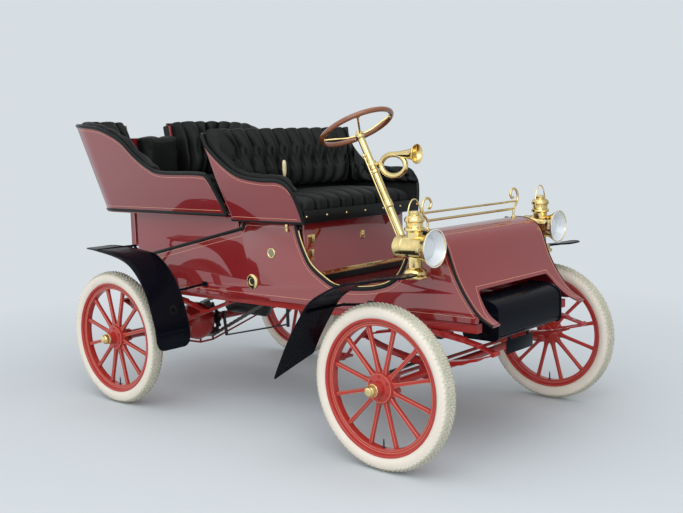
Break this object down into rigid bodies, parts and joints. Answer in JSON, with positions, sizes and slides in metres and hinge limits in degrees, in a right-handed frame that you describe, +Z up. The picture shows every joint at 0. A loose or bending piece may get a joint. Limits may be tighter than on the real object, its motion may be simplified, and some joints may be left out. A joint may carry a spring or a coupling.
{
  "type": "rear-entry tonneau car",
  "caption": "Early open motor car with spoked wheels, front bench, flared rear-entry tonneau, brass lamps and chain drive; steering, wheels and rear door move.",
  "frame": {"origin": "middle of the car's length and width, on the ground", "axes": "the car faces -Y, its right side (the driver's) is at -X, +Z is up"},
  "size_m": [1.624, 2.8001, 1.5405],
  "materials": {
    "body_paint": "glossy maroon coach paint with fine stripes",
    "chassis_paint": "glossy red",
    "wheel_paint": "glossy red with gold lines",
    "black_paint": "glossy black",
    "black_iron": "satin black",
    "chain_steel": "oiled steel",
    "leather": "buttoned black leather",
    "brass": "polished brass",
    "wheel_wood": "varnished red-brown wood",
    "tyre_rubber": "off-white rubber"
  },
  "bodies": {
    "root": {"body_right_side": "body_paint", "body_left_side": "body_paint", "body_core": "body_paint", "rear_deck": "body_paint", "hood_apron": "body_paint", "front_seat_body": "body_paint", "tonneau_base": "body_paint", "tonneau_right_side": "body_paint", "tonneau_left_side": "body_paint", "frame": "chassis_paint", "front_axle": "chassis_paint", "rear_axle": "chassis_paint", "front_right_spring": "chassis_paint", "front_left_spring": "chassis_paint", "rear_right_spring": "chassis_paint", "rear_left_spring": "chassis_paint", "front_tank": "black_paint", "front_right_fender": "black_paint", "front_left_fender": "black_paint", "rear_right_fender": "black_paint", "rear_left_fender": "black_paint", "engine": "black_iron", "silencer": "black_iron", "rear_sprocket": "black_iron", "engine_sprocket": "black_iron", "brake_rod": "black_iron", "drive_chain": "chain_steel", "front_seat_cushion": "leather", "front_seat_back_pad": "leather", "tonneau_right_cushion": "leather", "tonneau_left_cushion": "leather", "tonneau_right_pad": "leather", "tonneau_left_pad": "leather", "right_lamp": "brass", "left_lamp": "brass", "dash_rail": "brass", "steering_column": "brass", "horn": "brass", "hand_lever": "brass"},
    "right_knuckle": {"right_knuckle": "chassis_paint"},
    "left_knuckle": {"left_knuckle": "chassis_paint"},
    "tie_rod": {"tie_rod": "chassis_paint"},
    "drag_link": {"drag_link": "black_iron"},
    "drop_arm": {"drop_arm": "black_iron"},
    "steering_wheel": {"steering_wheel": "wheel_wood"},
    "rear_door": {"tonneau_door": "body_paint", "door_pad": "leather"},
    "front_right_wheel": {"front_right_wheel": "wheel_paint", "front_right_tyre": "tyre_rubber"},
    "front_left_wheel": {"front_left_wheel": "wheel_paint", "front_left_tyre": "tyre_rubber"},
    "rear_right_wheel": {"rear_right_wheel": "wheel_paint", "rear_right_tyre": "tyre_rubber"},
    "rear_left_wheel": {"rear_left_wheel": "wheel_paint", "rear_left_tyre": "tyre_rubber"}
  },
  "joints": [
    {"name": "steer_right", "type": "hinge", "parent": "root", "child": "right_knuckle", "pos_m": [-0.62, -1.04, 0.36], "axis": [0, 0, 1], "range_deg": [-30, 30]},
    {"name": "steer_left", "type": "hinge", "parent": "root", "child": "left_knuckle", "pos_m": [0.62, -1.04, 0.36], "axis": [0, 0, 1], "range_deg": [-30, 30]},
    {"name": "tie_rod_pivot", "type": "hinge", "parent": "right_knuckle", "child": "tie_rod", "pos_m": [-0.62, -0.91, 0.36], "axis": [0, 0, 1], "range_deg": [-30, 30]},
    {"name": "drag_link_pivot", "type": "hinge", "parent": "right_knuckle", "child": "drag_link", "pos_m": [-0.62, -0.91, 0.36], "axis": [0, 0, 1], "range_deg": [-30, 30]},
    {"name": "drop_arm_pivot", "type": "hinge", "parent": "root", "child": "drop_arm", "pos_m": [-0.19, -0.91, 0.5], "axis": [0, 1, 0], "range_deg": [-30, 30]},
    {"name": "steering_wheel_turn", "type": "hinge", "parent": "root", "child": "steering_wheel", "pos_m": [-0.19, -0.495, 1.447], "axis": [0, 0.454, 0.891], "range_deg": [-120, 120]},
    {"name": "rear_door_hinge", "type": "hinge", "parent": "root", "child": "rear_door", "pos_m": [0.16, 1.335, 1], "axis": [0, 0, -1], "range_deg": [0, 95]},
    {"name": "front_right_wheel_turn", "type": "hinge", "parent": "right_knuckle", "child": "front_right_wheel", "pos_m": [-0.711, -1.04, 0.36], "axis": [1, 0, 0], "continuous": true},
    {"name": "front_left_wheel_turn", "type": "hinge", "parent": "left_knuckle", "child": "front_left_wheel", "pos_m": [0.711, -1.04, 0.36], "axis": [1, 0, 0], "continuous": true},
    {"name": "rear_right_wheel_turn", "type": "hinge", "parent": "root", "child": "rear_right_wheel", "pos_m": [-0.711, 0.789, 0.36], "axis": [1, 0, 0], "continuous": true},
    {"name": "rear_left_wheel_turn", "type": "hinge", "parent": "root", "child": "rear_left_wheel", "pos_m": [0.711, 0.789, 0.36], "axis": [1, 0, 0], "continuous": true}
  ],
  "couplings": [
    {"joint": "steer_left", "follows": "steer_right", "ratio": 1},
    {"joint": "tie_rod_pivot", "follows": "steer_right", "ratio": -1},
    {"joint": "drag_link_pivot", "follows": "steer_right", "ratio": -1},
    {"joint": "drop_arm_pivot", "follows": "steer_right", "ratio": 1},
    {"joint": "steering_wheel_turn", "follows": "steer_right", "ratio": 4}
  ]
}
